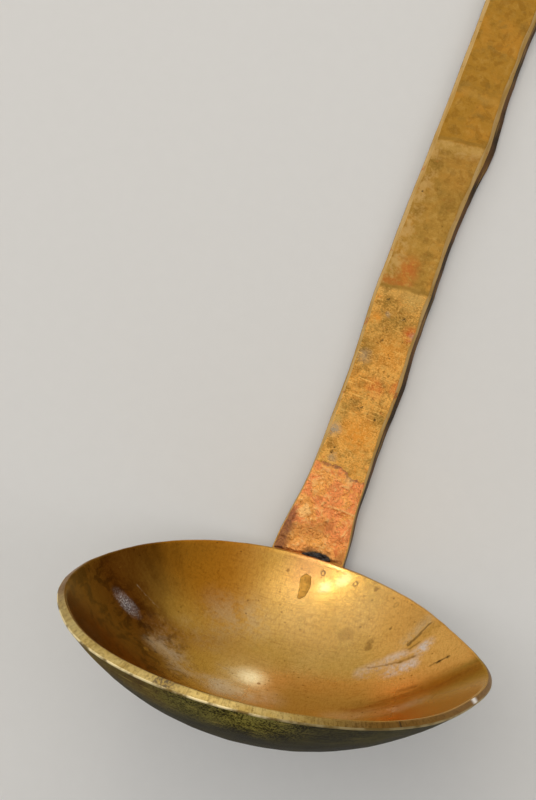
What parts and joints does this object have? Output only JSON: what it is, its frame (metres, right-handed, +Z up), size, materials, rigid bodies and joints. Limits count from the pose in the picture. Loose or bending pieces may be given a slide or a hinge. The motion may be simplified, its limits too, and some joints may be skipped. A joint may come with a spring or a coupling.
{
  "type": "ladle",
  "caption": "Hand-wrought brass ladle: shallow round bowl with a side pouring lip, and a long flat hammered strap handle, riveted and brazed behind the rim, with a hanging eye.",
  "frame": {"origin": "on the flat back of the handle, half way between the rim and the tip, where the ladle lies on a table", "axes": "+Y along the handle to the hanging eye, +Z up out of the handle's front, the bowl stands at the -Y end with its mouth towards +Y and up, +X to the pouring lip"},
  "size_m": [0.1093, 0.3266, 0.1056],
  "materials": {
    "bowl_brass": "polished golden inside, dark olive patina with hammer marks outside",
    "handle_brass": "hammered and worn, pale bevels, fine scratches and dark pits",
    "rivet_brass": "filed, browned",
    "braze_copper": "rough copper-red braze, mottled",
    "flux_glass": "black, glossy"
  },
  "bodies": {
    "root": {"bowl": "bowl_brass", "handle": "handle_brass", "foot_rivet": "rivet_brass", "braze_seam": "braze_copper", "braze_wash": "braze_copper", "flux_bead": "flux_glass"}
  },
  "joints": []
}
